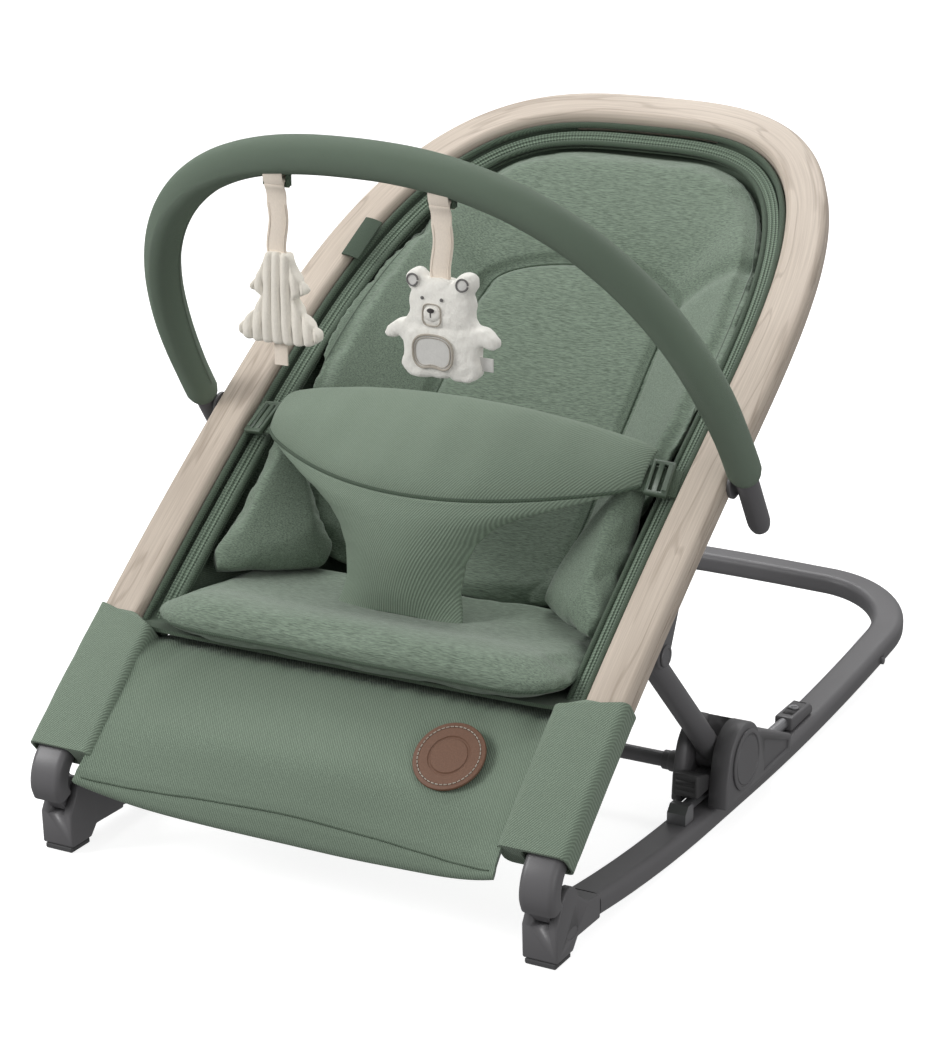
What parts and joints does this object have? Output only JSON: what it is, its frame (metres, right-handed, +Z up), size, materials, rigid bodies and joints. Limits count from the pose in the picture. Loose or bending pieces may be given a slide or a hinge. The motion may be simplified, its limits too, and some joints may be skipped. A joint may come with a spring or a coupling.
{
  "type": "baby bouncer seat",
  "caption": "Baby bouncer with a rocking rail base, reclining wood-look frame, padded hammock seat, waist belt and a toy arch with hanging plush toys.",
  "frame": {"origin": "on the floor, at the middle of the whole part's width and length", "axes": "+Z up, +Y from the front feet towards the head end, +X to the right seen from the front"},
  "size_m": [0.4848, 0.746, 0.5297],
  "materials": {
    "grey_plastic": "satin warm grey moulded plastic",
    "rubber_pad": "matt dark rubber",
    "rod_steel": "drawn steel",
    "oak_strip": "pale washed oak laminate, satin",
    "sage_jersey": "heathered sage green jersey",
    "sage_twill": "sage green twill",
    "arch_sleeve": "dark sage knitted sleeve over foam",
    "green_webbing": "woven dark green webbing",
    "green_plastic": "matt dark green plastic",
    "cream_plush": "cream plush and corduroy",
    "brown_leather": "matt brown leather"
  },
  "bodies": {
    "base": {"base_frame": "grey_plastic", "front_foot_L": "grey_plastic", "front_foot_R": "grey_plastic", "foot_pad_L": "rubber_pad", "foot_pad_R": "rubber_pad", "guide_rod_L": "rod_steel", "guide_rod_R": "rod_steel", "guide_bracket_L": "grey_plastic", "guide_bracket_R": "grey_plastic", "guide_screw_L": "rod_steel", "guide_screw_R": "rod_steel"},
    "rear_stand_left": {"rear_stand_L": "grey_plastic"},
    "rear_stand_right": {"rear_stand_R": "grey_plastic"},
    "seat": {"seat_frame": "oak_strip", "seat_cover": "sage_twill", "front_panel": "sage_twill", "seat_pad": "sage_jersey", "back_pad": "sage_jersey", "waist_belt": "sage_twill", "crotch_panel": "sage_twill", "badge": "brown_leather", "side_label": "green_webbing", "front_knuckle_L": "grey_plastic", "front_knuckle_R": "grey_plastic", "leg_bracket_L": "grey_plastic", "leg_bracket_R": "grey_plastic", "pivot_cap_L": "grey_plastic", "pivot_cap_R": "grey_plastic", "arch_clip_L": "grey_plastic", "arch_clip_R": "grey_plastic", "side_wing_L": "sage_jersey", "side_wing_R": "sage_jersey", "corner_sleeve_L": "sage_twill", "corner_sleeve_R": "sage_twill", "belt_webbing_L": "green_webbing", "belt_webbing_R": "green_webbing", "belt_buckle_L": "green_plastic", "belt_buckle_R": "green_plastic"},
    "toy_arch": {"toy_bar": "arch_sleeve", "toy_bar_tube_L": "grey_plastic", "toy_bar_tube_R": "grey_plastic", "toy_loop_L": "arch_sleeve", "toy_loop_R": "arch_sleeve"},
    "tree": {"tree_strap": "cream_plush", "tree_toy": "cream_plush"},
    "bear": {"bear_strap": "cream_plush", "bear_toy": "cream_plush"},
    "support_legs": {"support_leg_L": "grey_plastic", "support_leg_R": "grey_plastic"},
    "hub_carriage": {"cross_tube": "grey_plastic", "hub_L": "grey_plastic", "hub_R": "grey_plastic", "hub_cap_L": "grey_plastic", "hub_cap_R": "grey_plastic"},
    "button_left": {"release_button_L": "grey_plastic"},
    "button_right": {"release_button_R": "grey_plastic"}
  },
  "joints": [
    {"name": "seat_recline", "type": "hinge", "parent": "base", "child": "seat", "pos_m": [0, -0.3425, 0.042], "axis": [-1, 0, 0], "range_deg": [0, 24]},
    {"name": "leg_pivot", "type": "hinge", "parent": "seat", "child": "support_legs", "pos_m": [0, -0.1995, 0.172], "axis": [-1, 0, 0], "range_deg": [-51.23, 0]},
    {"name": "hub_pivot", "type": "hinge", "parent": "support_legs", "child": "hub_carriage", "pos_m": [0, -0.0755, 0.05], "axis": [-1, 0, 0], "range_deg": [0, 27.23]},
    {"name": "release_button_left", "type": "slide", "parent": "hub_carriage", "child": "button_left", "axis": [0, 1, 0], "range_m": [0, 0.004], "stiffness_N_per_m": 300, "springref_m": -0.002},
    {"name": "release_button_right", "type": "slide", "parent": "hub_carriage", "child": "button_right", "axis": [0, 1, 0], "range_m": [0, 0.004], "stiffness_N_per_m": 300, "springref_m": -0.002},
    {"name": "toy_arch_tilt", "type": "hinge", "parent": "seat", "child": "toy_arch", "pos_m": [0, -0.0981, 0.2704], "axis": [-1, 0, 0], "range_deg": [-35, 60]},
    {"name": "tree_swing", "type": "hinge", "parent": "toy_arch", "child": "tree", "pos_m": [-0.058, -0.26174, 0.4919], "axis": [1, 0, 0], "range_deg": [-35, 35]},
    {"name": "bear_swing", "type": "hinge", "parent": "toy_arch", "child": "bear", "pos_m": [0.071, -0.26011, 0.48948], "axis": [1, 0, 0], "range_deg": [-35, 35]},
    {"name": "rear_stand_left_flip", "type": "hinge", "parent": "base", "child": "rear_stand_left", "pos_m": [-0.1985, 0.2375, 0.02054], "axis": [1, 0, 0], "range_deg": [0, 90]},
    {"name": "rear_stand_right_flip", "type": "hinge", "parent": "base", "child": "rear_stand_right", "pos_m": [0.1985, 0.2375, 0.02054], "axis": [1, 0, 0], "range_deg": [0, 90]}
  ],
  "couplings": [
    {"joint": "leg_pivot", "follows": "seat_recline", "ratio": -2.1223},
    {"joint": "hub_pivot", "follows": "seat_recline", "ratio": 1.1223}
  ]
}
